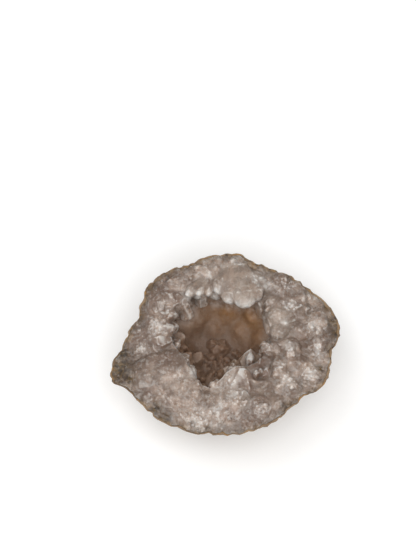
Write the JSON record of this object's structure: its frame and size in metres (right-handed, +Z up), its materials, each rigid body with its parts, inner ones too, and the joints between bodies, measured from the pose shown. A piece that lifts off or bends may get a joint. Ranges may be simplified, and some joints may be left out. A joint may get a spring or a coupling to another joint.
{
  "type": "geode half",
  "caption": "Half of a quartz geode lying on its rounded back: a stone rind with a thin lip, filled with a crust of crystals round an open, crystal-lined hollow.",
  "frame": {"origin": "on the surface that the stone lies on, under the middle of its bounding box", "axes": "+X along the longest side, away from the pointed end; +Y away from the near side of the picture; +Z up, out of the broken face"},
  "size_m": [0.0999, 0.0835, 0.0443],
  "materials": {
    "rind": "rough, knobbly brown and ochre skin, matt",
    "quartz": "milky quartz, semi-clear at the tips, with frosted and glassy faces"
  },
  "bodies": {
    "root": {"rind": "rind", "crystal_crust": "quartz"}
  },
  "joints": []
}
